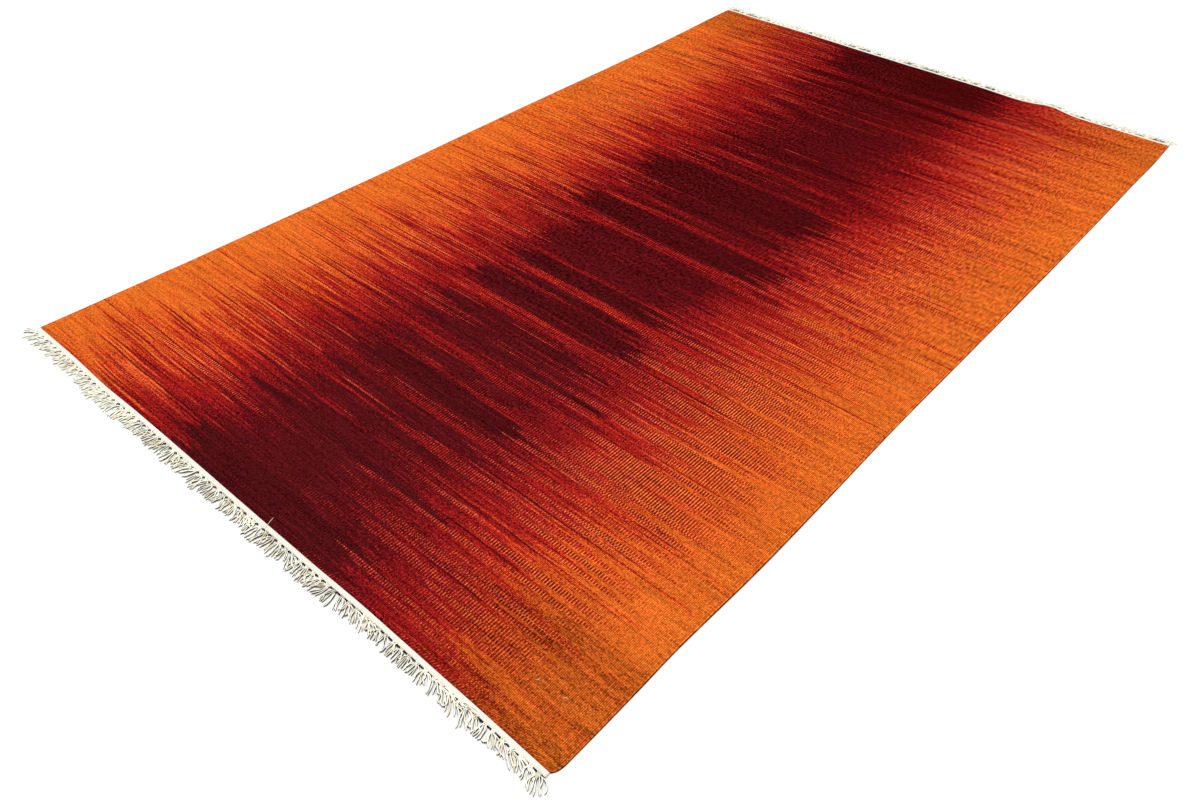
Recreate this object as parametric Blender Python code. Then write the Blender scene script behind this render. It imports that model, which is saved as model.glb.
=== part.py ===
"""Kilim rug lying flat: a weft-faced wool field with a cotton end band and a knotted fringe at each end.

Metres, +Z up. X runs across the rug, along its wefts. Y runs along its length, along its warps.
The near end is at -Y. The origin is the middle of the rug's own box, on the floor.
"""

import math
import random
from collections import namedtuple

import bmesh
import bpy

MM = 0.001

# Driving dimensions
FIELD_WIDTH = 1.560
FIELD_LENGTH = 2.570
FIELD_THICKNESS = 4.0 * MM
SELVEDGE_ROUND = 1.2 * MM
BAND_WIDTH = 10.0 * MM
BAND_THICKNESS = 2.6 * MM
PART_GAP = 0.4 * MM

# Fringe: warp ends knotted into tassels, most of them parted into two locks
TASSELS = 81
SINGLE_EVERY = 5
ROOT_WIDTH = 6.2 * MM
SINGLE_ROOT_WIDTH = 3.7 * MM
LOCK_WIDTH = 2.3 * MM
TIP_WIDTH = 1.5 * MM
TIP_HEIGHT = 1.4 * MM
LOCK_TOP = 0.6
LOCK_STEPS = 3
LOCK_BEND = 1.25
SPLAY = 4.6 * MM
SPLAY_JITTER = 1.1 * MM
REACH_JITTER = 3.0 * MM

# The field's grid: a column for every second tassel, and rows closer together at the corners
CELLS_PER_COLUMN = 2
ROW_STEP = 0.160
CORNER_ROWS = 0.0, 3 * MM, 7 * MM, 13 * MM, 24 * MM, 60 * MM

# Plain colours and roughness of the two yarns
WOOL_COLOUR = 0.40, 0.060, 0.020
WOOL_ROUGHNESS = 0.92
COTTON_COLOUR = 0.86, 0.83, 0.74
COTTON_ROUGHNESS = 0.90

# How far each side of the field bulges out of its rectangle.
# along: metres from the side's middle. out: millimetres outward.
Bulge = namedtuple("Bulge", "along out")

NEAR_SIDE = (
    Bulge(-0.790, 0.0), Bulge(-0.640, -0.3), Bulge(-0.500, 2.8), Bulge(-0.380, 0.5),
    Bulge(-0.020, 0.0), Bulge(0.200, -0.6), Bulge(0.340, -2.4), Bulge(0.480, -1.0),
    Bulge(0.640, 0.6), Bulge(0.780, 3.4),
)
FAR_SIDE = (
    Bulge(-0.790, -0.5), Bulge(-0.620, -1.2), Bulge(-0.460, 1.4), Bulge(-0.300, -0.6),
    Bulge(-0.140, -1.8), Bulge(0.020, 0.4), Bulge(0.200, 1.8), Bulge(0.320, -1.8),
    Bulge(0.420, 9.5), Bulge(0.510, -2.4), Bulge(0.700, 0.0), Bulge(0.780, 2.4),
)
LEFT_SIDE = (
    Bulge(-1.285, 11.5), Bulge(-1.180, 8.6), Bulge(-1.080, 5.0), Bulge(-0.980, 2.5),
    Bulge(-0.790, 0.0), Bulge(-0.370, -3.8), Bulge(0.000, -1.0), Bulge(0.300, 0.0),
    Bulge(0.860, 0.0), Bulge(0.980, 3.2), Bulge(1.130, 9.0), Bulge(1.285, 13.5),
)
RIGHT_SIDE = (
    Bulge(-1.285, -9.0), Bulge(-1.280, -5.0), Bulge(-1.272, -1.8), Bulge(-1.258, -0.2),
    Bulge(-1.100, -0.5), Bulge(-1.000, -1.8), Bulge(-0.780, 3.0), Bulge(-0.590, 2.0),
    Bulge(-0.300, -1.3), Bulge(0.000, 0.0), Bulge(0.400, 1.4), Bulge(0.760, 0.2),
    Bulge(1.000, -2.0), Bulge(1.150, -1.8), Bulge(1.285, -6.0),
)

# How the fringe is combed along an end.
# along: metres from the end's middle. lean: run towards +X for each metre of reach.
# reach: millimetres from the band to the tips.
Comb = namedtuple("Comb", "along lean reach")

NEAR_COMB = (
    Comb(-0.780, -1.05, 26), Comb(-0.690, -0.75, 31), Comb(-0.600, -0.55, 32),
    Comb(-0.440, -0.20, 35), Comb(-0.300, -0.45, 34), Comb(-0.180, 0.25, 36),
    Comb(-0.070, -0.45, 34), Comb(0.080, 0.35, 36), Comb(0.180, 0.35, 37),
    Comb(0.250, -0.35, 36), Comb(0.300, 0.30, 35), Comb(0.440, 0.35, 33),
    Comb(0.500, 0.65, 30), Comb(0.640, 0.75, 27), Comb(0.720, 0.70, 26),
    Comb(0.780, 1.15, 22),
)
FAR_COMB = (
    Comb(-0.790, -0.62, 44), Comb(-0.740, -0.35, 36), Comb(-0.560, -0.25, 35),
    Comb(-0.380, 0.15, 34), Comb(-0.200, -0.25, 37), Comb(-0.020, 0.10, 35),
    Comb(0.160, -0.20, 35), Comb(0.340, 0.20, 33), Comb(0.460, -0.15, 34),
    Comb(0.640, 0.25, 33), Comb(0.780, 0.45, 28),
)


def smooth_value(rows, along, column):
    """The named column of a table at a place between its rows, on a smooth curve through them."""
    places = [row.along for row in rows]
    values = [getattr(row, column) for row in rows]
    along = min(max(along, places[0]), places[-1])
    k = 0
    while k < len(rows) - 2 and along > places[k + 1]:
        k += 1

    def slope(i):
        before = max(i - 1, 0)
        after = min(i + 1, len(rows) - 1)
        return (values[after] - values[before]) / (places[after] - places[before])

    span = places[k + 1] - places[k]
    t = (along - places[k]) / span
    start = values[k] * (2 * t ** 3 - 3 * t ** 2 + 1)
    end = values[k + 1] * (3 * t ** 2 - 2 * t ** 3)
    leave = slope(k) * span * (t ** 3 - 2 * t ** 2 + t)
    arrive = slope(k + 1) * span * (t ** 3 - t ** 2)
    return start + end + leave + arrive


def side_x(rows, sign, y):
    """Where a long side is at a place along the rug."""
    return sign * (FIELD_WIDTH / 2 + smooth_value(rows, y, "out") * MM)


def end_y(rows, sign, x):
    """Where a short side is at a place across the rug."""
    return sign * (FIELD_LENGTH / 2 + smooth_value(rows, x, "out") * MM)


def column_fractions():
    """Places of the grid's columns, as shares of the width: every second tassel's edge, and the last."""
    cells = list(range(0, TASSELS, CELLS_PER_COLUMN)) + [TASSELS]
    return [cell / TASSELS for cell in cells]


def row_places():
    """Distances of the grid's rows from the near end."""
    ends = CORNER_ROWS
    middle = FIELD_LENGTH - 2 * ends[-1]
    steps = round(middle / ROW_STEP)
    rows = list(ends)
    rows += [ends[-1] + middle * k / steps for k in range(1, steps)]
    rows += [FIELD_LENGTH - place for place in reversed(ends)]
    return rows


def field_point(across, place):
    """A point of the field's outline grid, from its share of the width and its distance along."""
    y = place - FIELD_LENGTH / 2
    left = side_x(LEFT_SIDE, -1, y)
    right = side_x(RIGHT_SIDE, 1, y)
    x = left + (right - left) * across
    near = end_y(NEAR_SIDE, -1, x)
    far = end_y(FAR_SIDE, 1, x)
    return x, near + (far - near) * place / FIELD_LENGTH


def new_object(name, mesh_source, colour, roughness):
    """A named object from a finished bmesh, with a cloth material of its own."""
    bmesh.ops.recalc_face_normals(mesh_source, faces=mesh_source.faces)
    mesh = bpy.data.meshes.new(name)
    mesh_source.to_mesh(mesh)
    mesh_source.free()
    material = bpy.data.materials.new(name + "_cloth")
    material.use_nodes = True
    shader = material.node_tree.nodes["Principled BSDF"]
    shader.inputs["Base Color"].default_value = (*colour, 1.0)
    shader.inputs["Roughness"].default_value = roughness
    shader.inputs["Metallic"].default_value = 0.0
    mesh.materials.append(material)
    result = bpy.data.objects.new(name, mesh)
    bpy.context.scene.collection.objects.link(result)
    return result


def build_field():
    """The woven field: flat below, flat above, with its upper edge rounded off all the way round."""
    bm = bmesh.new()
    columns = column_fractions()
    rows = row_places()
    last_column = len(columns) - 1
    last_row = len(rows) - 1
    floor, rim, top = {}, {}, {}
    for i, across in enumerate(columns):
        for j, place in enumerate(rows):
            x, y = field_point(across, place)
            floor[i, j] = bm.verts.new((x, y, 0.0))
            in_x = SELVEDGE_ROUND * ((i == 0) - (i == last_column))
            in_y = SELVEDGE_ROUND * ((j == 0) - (j == last_row))
            top[i, j] = bm.verts.new((x + in_x, y + in_y, FIELD_THICKNESS))
            if in_x or in_y:
                rim[i, j] = bm.verts.new((x, y, FIELD_THICKNESS - SELVEDGE_ROUND))
    for i in range(last_column):
        for j in range(last_row):
            square = (i, j), (i + 1, j), (i + 1, j + 1), (i, j + 1)
            bm.faces.new([top[key] for key in square])
            bm.faces.new([floor[key] for key in reversed(square)])
    loop = [(i, 0) for i in range(last_column)]
    loop += [(last_column, j) for j in range(last_row)]
    loop += [(i, last_row) for i in range(last_column, 0, -1)]
    loop += [(0, j) for j in range(last_row, 0, -1)]
    for here, there in zip(loop, loop[1:] + loop[:1]):
        bm.faces.new((floor[here], floor[there], rim[there], rim[here]))
        bm.faces.new((rim[here], rim[there], top[there], top[here]))
    return new_object("kilim_field", bm, WOOL_COLOUR, WOOL_ROUGHNESS)


def band_edge(sign, share):
    """A point of the field's own end, from its share of the width: straight between the grid's columns."""
    place = 0.0 if sign < 0 else FIELD_LENGTH
    columns = column_fractions()
    k = 0
    while k < len(columns) - 2 and share > columns[k + 1]:
        k += 1
    t = (share - columns[k]) / (columns[k + 1] - columns[k])
    x0, y0 = field_point(columns[k], place)
    x1, y1 = field_point(columns[k + 1], place)
    return x0 + (x1 - x0) * t, y0 + (y1 - y0) * t


def build_end(name, sign, comb, seed):
    """One cotton end band with its fringe, one closed body. sign is -1 at the near end, 1 at the far end."""
    bm = bmesh.new()
    rng = random.Random(seed)
    out_y = sign * (PART_GAP + BAND_WIDTH)
    corners = {}

    def corner(x, y, z):
        """The mesh corner at a place, made once."""
        key = round(x, 7), round(y, 7), round(z, 7)
        if key not in corners:
            corners[key] = bm.verts.new((x, y, z))
        return corners[key]

    def face(*points):
        bm.faces.new([corner(*point) for point in points])

    def wall(a, b):
        """An upright face of the band between two plan points."""
        face((*a, 0.0), (*b, 0.0), (*b, BAND_THICKNESS), (*a, BAND_THICKNESS))

    def lock(left, right, splay):
        """A lock of yarn: a tapering bar from the band's edge between two plan points, flat on the floor."""
        root_x = (left[0] + right[0]) / 2
        root_y = (left[1] + right[1]) / 2
        reach = smooth_value(comb, root_x, "reach") * MM + rng.uniform(-REACH_JITTER, REACH_JITTER)
        run = smooth_value(comb, root_x, "lean") * reach + splay + rng.uniform(-SPLAY_JITTER, SPLAY_JITTER)
        before = [(*left, 0.0), (*right, 0.0), (*right, BAND_THICKNESS), (*left, BAND_THICKNESS)]
        for step in range(1, LOCK_STEPS + 1):
            t = step / LOCK_STEPS
            steer = math.atan2(run * LOCK_BEND * t ** (LOCK_BEND - 1), reach)
            x = root_x + run * t ** LOCK_BEND
            y = root_y + sign * reach * t
            half = (LOCK_WIDTH + (TIP_WIDTH - LOCK_WIDTH) * t) / 2
            height = BAND_THICKNESS + (TIP_HEIGHT - BAND_THICKNESS) * t
            to_x, to_y = math.cos(steer) * half, -sign * math.sin(steer) * half
            here = [
                (x - to_x, y - to_y, 0.0), (x + to_x, y + to_y, 0.0),
                (x + to_x * LOCK_TOP, y + to_y * LOCK_TOP, height),
                (x - to_x * LOCK_TOP, y - to_y * LOCK_TOP, height),
            ]
            for k in range(4):
                n = (k + 1) % 4
                face(before[k], before[n], here[n], here[k])
            before = here
        face(*before)

    for k in range(TASSELS):
        single = k % SINGLE_EVERY == SINGLE_EVERY // 2
        a_x, a_y = band_edge(sign, k / TASSELS)
        b_x, b_y = band_edge(sign, (k + 1) / TASSELS)
        inner_a, inner_b = (a_x, a_y + sign * PART_GAP), (b_x, b_y + sign * PART_GAP)
        outer_a, outer_b = (a_x, a_y + out_y), (b_x, b_y + out_y)

        def between(share):
            return tuple(p + (q - p) * share for p, q in zip(outer_a, outer_b))

        root_width = SINGLE_ROOT_WIDTH if single else ROOT_WIDTH
        half_root = root_width / (b_x - a_x) / 2
        roots = [between(0.5 - half_root), between(0.5 + half_root)]
        if not single:
            roots.insert(1, between(0.5))
        edge = [outer_a, *roots, outer_b]
        turn = len(edge) // 2
        for z in (0.0, BAND_THICKNESS):
            for n, (p, q) in enumerate(zip(edge, edge[1:])):
                tip = inner_a if n < turn else inner_b
                face((*tip, z), (*p, z), (*q, z))
            face((*inner_a, z), (*edge[turn], z), (*inner_b, z))
        wall(inner_a, inner_b)
        wall(outer_a, roots[0])
        wall(roots[-1], outer_b)
        splays = [0.0] if single else [-SPLAY, SPLAY]
        for left, right, splay in zip(roots, roots[1:], splays):
            lock(left, right, splay)
        if k == 0:
            wall(inner_a, outer_a)
        if k == TASSELS - 1:
            wall(inner_b, outer_b)
    return new_object(name, bm, COTTON_COLOUR, COTTON_ROUGHNESS)


def centre_on_floor(objects):
    """Shift the meshes sideways so that the origin is under the middle of their common box."""
    points = [vertex.co for item in objects for vertex in item.data.vertices]
    middle_x = (min(p.x for p in points) + max(p.x for p in points)) / 2
    middle_y = (min(p.y for p in points) + max(p.y for p in points)) / 2
    for item in objects:
        for vertex in item.data.vertices:
            vertex.co.x -= middle_x
            vertex.co.y -= middle_y
        item.data.update()


def main():
    for item in list(bpy.data.objects):
        bpy.data.objects.remove(item)
    pieces = [
        build_field(),
        build_end("near_end_fringe", -1, NEAR_COMB, 11),
        build_end("far_end_fringe", 1, FAR_COMB, 23),
    ]
    centre_on_floor(pieces)


main()
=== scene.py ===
"""The looks of a flat-woven wool rug: its field, its two cotton end bands and their knotted fringes.

Metres, +Z up, in the frame's own place. X runs across the rug, along its wefts, and Y runs along
its length, along its warps. The near end is at -Y. The tables give places from the middle of the
woven rectangle, and SHIFT_X and SHIFT_Y move what they give to where the frame has the field.
"""

import math
import random
from collections import namedtuple

import bmesh
import bpy
import numpy as np
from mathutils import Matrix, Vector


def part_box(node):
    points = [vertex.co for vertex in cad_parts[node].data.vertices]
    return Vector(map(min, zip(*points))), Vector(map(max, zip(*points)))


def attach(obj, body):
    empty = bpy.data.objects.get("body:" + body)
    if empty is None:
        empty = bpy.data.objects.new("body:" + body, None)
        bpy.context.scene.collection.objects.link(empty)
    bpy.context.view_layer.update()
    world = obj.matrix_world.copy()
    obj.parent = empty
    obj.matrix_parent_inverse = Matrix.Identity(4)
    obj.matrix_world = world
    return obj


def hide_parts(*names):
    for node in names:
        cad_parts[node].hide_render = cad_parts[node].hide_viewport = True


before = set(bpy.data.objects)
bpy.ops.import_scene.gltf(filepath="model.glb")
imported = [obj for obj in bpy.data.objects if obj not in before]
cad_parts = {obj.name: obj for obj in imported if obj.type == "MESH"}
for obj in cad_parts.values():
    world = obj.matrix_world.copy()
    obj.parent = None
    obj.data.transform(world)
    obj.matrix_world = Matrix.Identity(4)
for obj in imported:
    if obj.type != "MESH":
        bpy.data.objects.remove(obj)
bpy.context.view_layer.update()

MM = 0.001


def table(kind, *rows):
    """Rows of values under a kind's named columns."""
    return [kind(*row) for row in rows]


# The woven rectangle and its parts
FIELD_WIDTH = 1.560
FIELD_LENGTH = 2.570
FIELD_TOP = 3.8 * MM
WARP_PITCH = 3.12 * MM
PICK_PAIR = 2.0 * MM

# The fringe: how many tassels an end has, and how their yarns lie. Angles are in degrees.
TASSELS = 81
CELL_ROWS = 3
YARN_SIDES = 8
YARN_STEPS = 16
KNOT_HALF_WIDTH = 3.0 * MM
ROOT_OUT = 9.4 * MM
KNOT_OUT = 13.6 * MM
KNOT_HEIGHT = 1.9 * MM
FAN = 52
FAN_LENGTH = 7.0 * MM
SETTLE_LENGTH = 7.0 * MM
TASSEL_JITTER = 10
YARN_JITTER = 5
WIGGLE = 13
CURL = 14
# How far the painted shade at a tassel's root reaches along its yarns, as a share of their length
ROOT_SHADE = 0.34

# A few yarns end in a loop or a hook: how many, from which share of the length, and by how much
LOOP_CHANCE = 0.05
LOOP_FROM = 0.45
LOOP_TURNS = 180, 260
HOOK_CHANCE = 0.13
HOOK_FROM = 0.72
HOOK_TURNS = 60, 130

# How far each side of the field bulges out of its rectangle.
# along: metres from the side's middle. out: millimetres outward.
Bulge = namedtuple("Bulge", "along out")

NEAR_SIDE = table(
    Bulge, (-0.79, 0.0), (-0.64, -0.3), (-0.5, 2.8), (-0.38, 0.5), (-0.02, 0.0), (0.2, -0.6),
    (0.34, -2.4), (0.48, -1.0), (0.64, 0.6), (0.78, 3.4),
)
FAR_SIDE = table(
    Bulge, (-0.79, -0.5), (-0.62, -1.2), (-0.46, 1.4), (-0.3, -0.6), (-0.14, -1.8), (0.02, 0.4),
    (0.2, 1.8), (0.32, -1.8), (0.42, 9.5), (0.51, -2.4), (0.7, 0.0), (0.78, 2.4),
)
LEFT_SIDE = table(
    Bulge, (-1.285, 11.5), (-1.18, 8.6), (-1.08, 5.0), (-0.98, 2.5), (-0.79, 0.0), (-0.37, -3.8),
    (0.0, -1.0), (0.3, 0.0), (0.86, 0.0), (0.98, 3.2), (1.13, 9.0), (1.285, 13.5),
)
RIGHT_SIDE = table(
    Bulge, (-1.285, -9.0), (-1.28, -5.0), (-1.272, -1.8), (-1.258, -0.2), (-1.1, -0.5),
    (-1.0, -1.8), (-0.78, 3.0), (-0.59, 2.0), (-0.3, -1.3), (0.0, 0.0), (0.4, 1.4),
    (0.76, 0.2), (1.0, -2.0), (1.15, -1.8), (1.285, -6.0),
)

# How the fringe is combed along an end.
# along: metres from the end's middle. heading: degrees towards +X from straight out.
# bend: how far a tassel turns on its way. spread: how far its yarns part. reach: millimetres long.
# root: half a tassel's width at the band, in millimetres. shade: how deep the painted shade on its yarns'
# undersides is.
# yarns: how many it has.
Comb = namedtuple("Comb", "along heading bend spread reach root shade yarns")

NEAR_COMB = table(
    Comb, (-0.78, -56, 8, 14, 36, 7.5, 0.46, 4.6), (-0.712, -28, 4, 6, 31, 7.5, 0.46, 4.6),
    (-0.64, -29, 0, 6, 28, 7.5, 0.46, 4.6), (-0.49, -24, 0, 5, 32, 7.5, 0.46, 4.6),
    (-0.34, -17, 0, 5, 31, 7.2, 0.58, 4.6), (-0.28, -28, 0, 5, 30, 7.2, 0.8, 5.2),
    (-0.195, -2, 0, 8, 29, 7.0, 0.84, 5.2), (-0.118, -20, 0, 5, 33, 7.0, 0.88, 5.2),
    (-0.036, 6, 0, 6, 28, 6.8, 0.92, 5.2), (0.02, 25, 0, 5, 31, 6.6, 0.95, 5.8),
    (0.1, -14, 0, 6, 33, 6.4, 0.98, 5.8), (0.13, 27, 0, 5, 30, 6.2, 1.0, 5.8),
    (0.2, 20, 0, 6, 30, 5.0, 1.26, 5.8), (0.262, -27, 0, 8, 36, 5.6, 1.22, 6.2),
    (0.29, 25, 0, 5, 31, 5.2, 1.24, 6.2), (0.36, 36, 0, 6, 28, 5.0, 1.26, 6.2),
    (0.42, 26, 0, 5, 27, 4.6, 1.28, 6.2), (0.455, 9, 0, 6, 28, 4.2, 1.28, 6.2),
    (0.52, 26, 0, 8, 27, 3.8, 1.28, 6.2), (0.545, 74, -28, 8, 38, 3.4, 1.28, 6.2),
    (0.6, 70, -22, 8, 37, 3.2, 1.28, 6.2), (0.64, 30, 6, 3, 29, 3.2, 1.28, 6.2),
    (0.665, 46, -4, 4, 31, 3.0, 1.28, 6.2), (0.7, 72, -36, 10, 39, 3.0, 1.28, 6.2),
    (0.735, 44, 0, 12, 27, 3.0, 1.28, 6.2), (0.78, 34, 0, 26, 35, 5.0, 1.28, 7.0),
)
FAR_COMB = table(
    Comb, (-0.79, -34, 6, 16, 46, 5.0, 0.28, 6.0), (-0.74, -20, 0, 8, 38, 4.5, 0.23, 6.0),
    (-0.56, -12, 0, 7, 36, 4.5, 0.2, 6.0), (-0.38, 10, 0, 7, 35, 4.5, 0.2, 6.0),
    (-0.2, -14, 0, 7, 38, 4.5, 0.2, 6.0), (-0.02, 8, 0, 7, 36, 4.5, 0.2, 6.0),
    (0.16, -12, 0, 7, 36, 4.5, 0.2, 6.0), (0.34, 14, 0, 7, 35, 4.5, 0.2, 6.0),
    (0.46, -8, 0, 7, 36, 4.5, 0.2, 6.0), (0.64, 18, 0, 8, 35, 4.5, 0.23, 6.0),
    (0.78, 30, 0, 14, 32, 5.0, 0.28, 6.0),
)

# Bands of picks where another shade crosses the heart.
# along: metres from the near end. height: millimetres. tone: the shade, as in WOOL_SHADES.
# reach: how far it runs from the middle, as a share of the half width. edge: millimetres of fade.
Band = namedtuple("Band", "along height tone reach edge")

BANDS = table(
    Band, (0.04, 80, -0.16, 0.3, 20), (0.215, 18, -0.1, 0.3, 6), (0.27, 12, 0.345, 0.45, 4),
    (0.325, 14, 0.35, 0.45, 4), (0.365, 14, -0.1, 0.3, 5), (0.395, 14, 0.345, 0.4, 5),
    (0.455, 50, -0.14, 0.28, 10), (0.49, 14, 0.335, 0.4, 5), (0.565, 50, 0.33, 0.4, 12),
    (0.612, 13, -0.12, 0.34, 4), (0.69, 30, 0.0, 0.3, 9), (0.742, 38, 0.405, 0.5, 10),
    (0.822, 92, -0.12, 0.28, 8), (0.845, 10, 0.325, 0.36, 4), (0.888, 24, 0.445, 0.52, 6),
    (0.93, 48, -0.14, 0.28, 4), (0.962, 12, 0.34, 0.42, 4), (1.06, 150, 0.1, 0.29, 12),
    (1.166, 28, 0.345, 0.5, 6), (1.234, 86, -0.14, 0.37, 3), (1.29, 24, 0.365, 0.45, 7),
    (1.332, 14, 0.335, 0.42, 5), (1.364, 20, -0.2, 0.31, 4), (1.49, 140, -0.12, 0.33, 16),
    (1.576, 12, 0.335, 0.4, 4), (1.661, 30, 0.395, 0.48, 8), (1.774, 16, -0.35, 0.33, 5),
    (2.112, 14, 0.325, 0.38, 6), (2.25, 22, -0.35, 0.32, 7), (2.325, 28, -0.35, 0.33, 6),
    (2.357, 8, 0.325, 0.4, 4), (2.475, 190, -0.2, 0.33, 16),
)

# How far the shades stand further out on each side than they do on the whole.
# along: metres from the near end. left, right: shares of the half width.
Drift = namedtuple("Drift", "along left right")

DRIFTS = table(
    Drift, (0.0, 0.01, 0.08), (0.06, 0.0, 0.02), (0.3, 0.0, -0.01), (0.58, 0.01, 0.03),
    (0.89, -0.02, -0.02), (1.09, -0.01, 0.02), (1.28, 0.0, -0.03), (1.48, -0.03, 0.0),
    (1.68, -0.01, 0.03), (1.88, 0.03, 0.04), (2.07, 0.0, 0.0), (2.27, 0.03, 0.01), (2.47, 0.06, 0.05),
    (2.57, 0.06, 0.05),
)

# Where a drift starts from the middle, over how much it grows, and over how much it ends
DRIFT_FROM = 0.20
DRIFT_GROWS = 0.15
DRIFT_ENDS = 0.25

# How far the tone of a crossing brighter than BRIGHT_BAND falls towards the middle of the heart
BRIGHT_BAND = 0.3
CROSSING_DIP = 0.02
DIP_REACH = 0.25

# Wefts whose dye came out darker or brighter on one side, as batches do.
# side: -1 left, 1 right. along, height and edge as above. shift: a share of the brightness.
Abrash = namedtuple("Abrash", "side along height shift edge")

ABRASHES = table(
    Abrash, (1, 0.1, 240, -0.24, 80), (1, 0.205, 10, -0.1, 4), (1, 1.575, 10, -0.22, 4),
    (1, 1.768, 14, -0.14, 5), (1, 2.17, 16, -0.12, 6), (1, 2.48, 200, -0.12, 60),
    (-1, 1.575, 12, -0.16, 5), (-1, 1.72, 110, -0.08, 40), (-1, 2.05, 16, -0.14, 6),
    (-1, 2.14, 16, -0.26, 5), (-1, 2.48, 210, -0.25, 60), (-1, 2.25, 50, -0.1, 20),
    (1, 1.28, 2400, -0.06, 200), (1, 0.0, 70, -0.12, 30), (1, 0.09, 340, -0.06, 90),
    (1, 2.48, 160, -0.06, 60),
)

# The wool's shades from the heart to the sides, as they look in the light.
# tone: the place on the way from the heart, at 0, to the sides, at 1.
Shade = namedtuple("Shade", "tone red green blue")

WOOL_SHADES = table(
    Shade, (-0.35, 74, 7, 7), (-0.2, 68, 10, 12), (-0.12, 74, 13, 17), (-0.08, 80, 12, 16),
    (0.2, 85, 12, 16), (0.31, 95, 13, 17), (0.34, 124, 17, 20), (0.4, 132, 19, 21),
    (0.43, 151, 24, 23), (0.5, 157, 27, 24), (0.53, 172, 34, 26), (0.6, 177, 37, 27),
    (0.63, 193, 57, 30), (0.68, 197, 62, 30), (0.71, 212, 84, 32), (0.76, 215, 88, 33),
    (0.79, 221, 99, 34), (1.0, 224, 106, 36), (1.2, 234, 122, 43),
)

# The lighter flecks of one shuttle's wool, painted on the crowns of the ribs as a highlight, and a faint
# painted sheen on the dark wool towards the near end
WOOL_FLECK_HIGHLIGHT = 236, 140, 96
WOOL_PAINTED_SHEEN = 190, 150, 162

# The cotton's colours, as they look in the light
BAND_CREAM = 246, 243, 230
YARN_CREAM = 254, 250, 232
YARN_DULL = 240, 222, 182
# Painted shade for the yarns' undersides
YARN_PAINTED_SHADE = 70, 57, 38
# Painted shadow: the dark cord between the tassels and the band's outer edge
PAINTED_SHADOW_DARK = 16, 12, 9
BAND_PICK = 1.3 * MM
YARN_TWIST = 2.2 * MM

# Flames of shade, drawn out along the wefts.
# across, along: waves for each metre. depth: how far they move the tone.
Flame = namedtuple("Flame", "across along depth seed")

FLAMES = table(
    Flame, (1.4, 7.0, 0.12, 1.3), (3.0, 26.0, 0.12, 8.1), (7.0, 120.0, 0.2, 23.9),
    (9.0, 380.0, 0.2, 29.3),
)

# The field's upper surface near its sides, from the rim inward, in millimetres
Rise = namedtuple("Rise", "inset height")

SELVEDGE = table(
    Rise, (0.0, 1.3), (0.2, 2.3), (0.7, 3.3), (1.6, 4.1), (2.6, 4.2), (3.6, 3.8), (4.5, 3.1),
    (5.4, 3.4), (7.0, 3.9), (12.0, 3.8),
)
END_EDGE = table(Rise, (0.0, 1.4), (0.3, 2.6), (1.0, 3.4), (2.4, 3.8))

# A closed section across an end band, from the field's side outward, in millimetres
Corner = namedtuple("Corner", "out height")

BAND_SECTION = table(
    Corner, (0.2, 0.1), (0.2, 1.7), (0.8, 2.6), (2.6, 2.8), (5.4, 2.6), (8.2, 2.8), (9.8, 2.6),
    (10.5, 1.9), (10.5, 0.1), (5.4, 0.1),
)
BAND_COLUMNS = 521

# A thin dark cord along each band's outer edge: painted shadow that shows between the tassels.
# along: metres from the end's middle. radius, height of its middle: millimetres.
Cord = namedtuple("Cord", "along radius height")

SHADOW_CORD_OUT = 11.5 * MM
SHADOW_CORD_INSET = 1.5 * MM
NEAR_CORD = table(
    Cord, (-0.79, 0.6, 1.0), (-0.2, 0.65, 1.0), (0.2, 0.9, 1.2), (0.5, 1.15, 1.4),
    (0.79, 1.3, 1.5),
)
FAR_CORD = table(Cord, (-0.79, 0.6, 1.8), (0.2, 0.6, 1.8), (0.5, 0.7, 1.9), (0.79, 0.8, 1.9))

# The two ends. sign: the way out along the rug. radius: a yarn's, in millimetres.
# deep: how much deeper the painted shade at a tassel's root can be, a painted shadow among the tassels.
End = namedtuple("End", "name sign comb cord radius deep seed")

ENDS = table(
    End, ("near", -1, NEAR_COMB, NEAR_CORD, 1.3, 1.6, 11), ("far", 1, FAR_COMB, FAR_CORD, 0.9, 7.0, 23),
)

# A tassel's knot, along its own length: millimetres
Ring = namedtuple("Ring", "along radius")

KNOT_RINGS = table(Ring, (-2.2, 0.5), (-1.6, 1.2), (-0.4, 1.6), (0.9, 1.5), (1.9, 1.1), (2.4, 0.5))
KNOT_SIDES = 8
KNOT_BREADTH = 1.5

# A few loose threads on the cloth near the near end.
# x, y: metres from the middle. height: millimetres above the cloth's face.
Place = namedtuple("Place", "x y height")

LOOSE_THREADS = (
    table(Place, (0.066, -1.269, 0.9), (0.0675, -1.273, 0.8), (0.069, -1.278, 0.7),
          (0.071, -1.283, 0.6), (0.073, -1.288, -0.1), (0.074, -1.293, -0.6), (0.075, -1.297, -0.9)),
    table(Place, (0.648, -1.195, 0.2), (0.651, -1.191, 0.4), (0.656, -1.190, 0.2)),
    table(Place, (0.703, -1.189, 0.2), (0.706, -1.185, 0.4), (0.711, -1.185, 0.2)),
)
LOOSE_RADIUS = 0.33 * MM

# The way the painted shade on a yarn faces: down, and to the near right
SHADED_WAY = np.array([0.62, -0.25, -0.74])

# How soon the bulges of the two ends die away inward
END_HOLD = 9

# How high the cloth rests on its low waves, in millimetres, and the ripple in the far end:
# millimetres high, and metres from the middle, wide and long
CLOTH_REST = 0.5
RIPPLE_HEIGHT = 4.5
RIPPLE_AT = 0.42
RIPPLE_WIDTH = 0.040
RIPPLE_LENGTH = 0.045

COLUMN_STEP = 30 * MM
ROW_STEP = 4 * MM

# The camera, in the woven rectangle's own place: metres, degrees and millimetres
CAMERA_PLACE = 1.29469, -1.78196, 1.35354
CAMERA_TURN = 48.4415, -0.3531, 41.6378
CAMERA_LENS = 29.93
SENSOR_WIDTH = 36.0

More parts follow.
